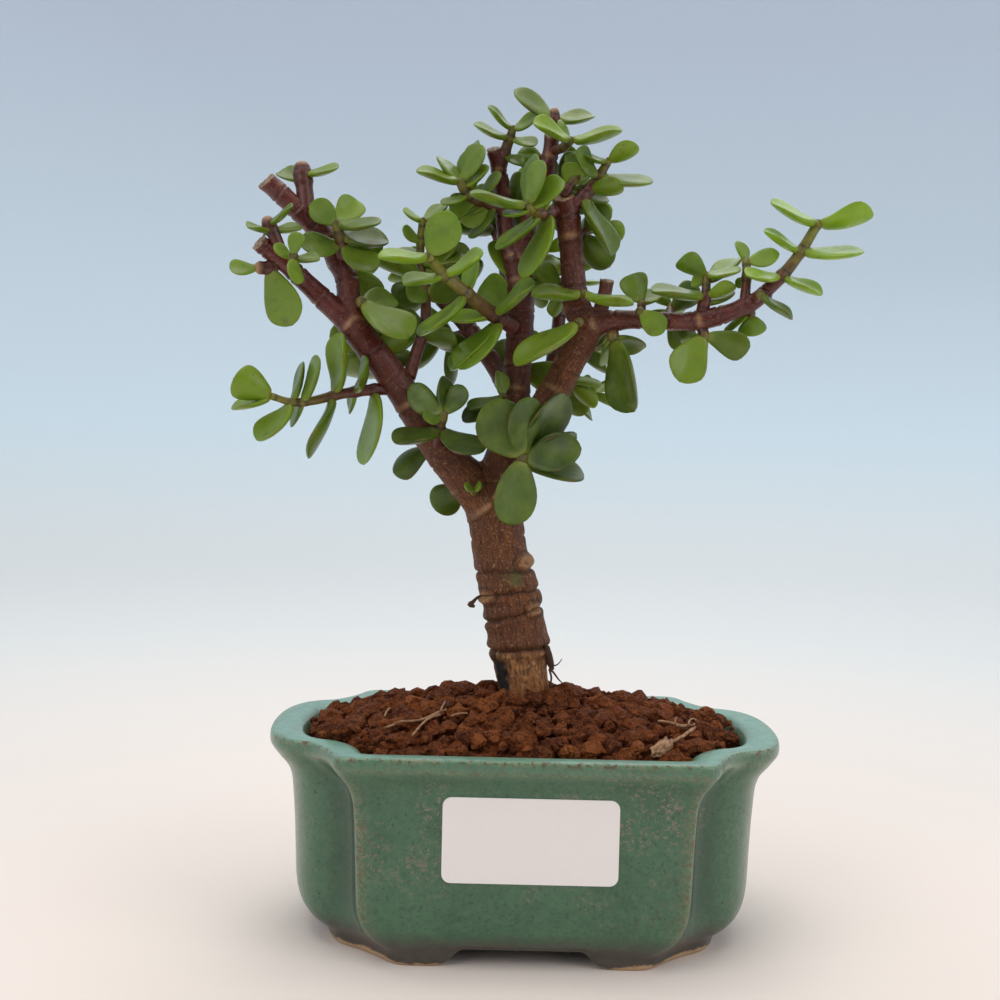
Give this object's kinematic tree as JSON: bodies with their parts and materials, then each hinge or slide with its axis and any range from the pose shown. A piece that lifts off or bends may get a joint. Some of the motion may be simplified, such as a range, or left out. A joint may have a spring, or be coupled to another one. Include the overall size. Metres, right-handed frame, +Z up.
{
  "type": "dwarf jade bonsai",
  "caption": "Small succulent bonsai with a thick ringed trunk, purple-brown limbs and fleshy oval leaves, in a lobed green glazed footed pot.",
  "frame": {"origin": "on the surface that the pot stands on, under the middle of the whole object's box", "axes": "+Z up along the trunk; +X to the right along the pot's long side, seen from the front that bears the blank label; -Y out of that front"},
  "size_m": [0.1765, 0.0968, 0.2415],
  "materials": {
    "glaze": "gloss",
    "label": "satin",
    "netting": "matte",
    "soil": "matte",
    "bark": "matte",
    "dry_wood": "matte",
    "leaf": "satin",
    "young_leaf": "satin"
  },
  "bodies": {
    "root": {"pot": "glaze", "drain_net_left": "netting", "drain_net_right": "netting", "blank_label": "label", "soil": "soil", "dry_root": "dry_wood", "bark_chip": "dry_wood", "trunk_and_limbs": "bark", "left_end_shoot": "leaf", "left_outer_bud": "leaf", "left_front_bud": "leaf", "left_crown": "leaf", "left_cut_stub": "leaf", "left_inner_leaf": "leaf", "low_left_twig": "leaf", "limb_back_leaf": "leaf", "middle_stem": "leaf", "front_shoot": "young_leaf", "heart_cluster": "leaf", "limb_cluster": "leaf", "fork_leaf": "leaf", "fork_small_leaf": "leaf", "limb_under_leaf": "leaf", "fork_under_leaf": "leaf", "crown_left": "leaf", "crown_tip": "leaf", "crown_right_top": "leaf", "crown_front_top": "leaf", "crown_back_leaf": "leaf", "riser_front": "young_leaf", "riser_top": "leaf", "riser_right": "leaf", "riser_left_leaf": "leaf", "riser_low_front": "leaf", "right_knee_leaf": "leaf", "limb_back_right": "leaf", "branch_leaf_up": "leaf", "branch_leaf_front": "leaf", "branch_hanging": "leaf", "branch_mid_up": "leaf", "branch_mid_down": "leaf", "branch_far_up": "leaf", "branch_far_front": "leaf", "branch_far_down": "leaf", "branch_tip": "young_leaf", "back_left_end": "leaf", "back_left_low": "leaf", "back_left_up": "leaf", "back_right_end": "leaf", "back_right_out": "leaf", "back_right_low": "leaf", "back_middle_end": "leaf", "back_middle_right": "leaf", "back_middle_low": "leaf", "leader_back": "leaf", "crown_back_right": "leaf", "riser_back": "leaf", "limb_back": "leaf", "left_leader_back": "leaf", "branch_back": "leaf"}
  },
  "joints": []
}
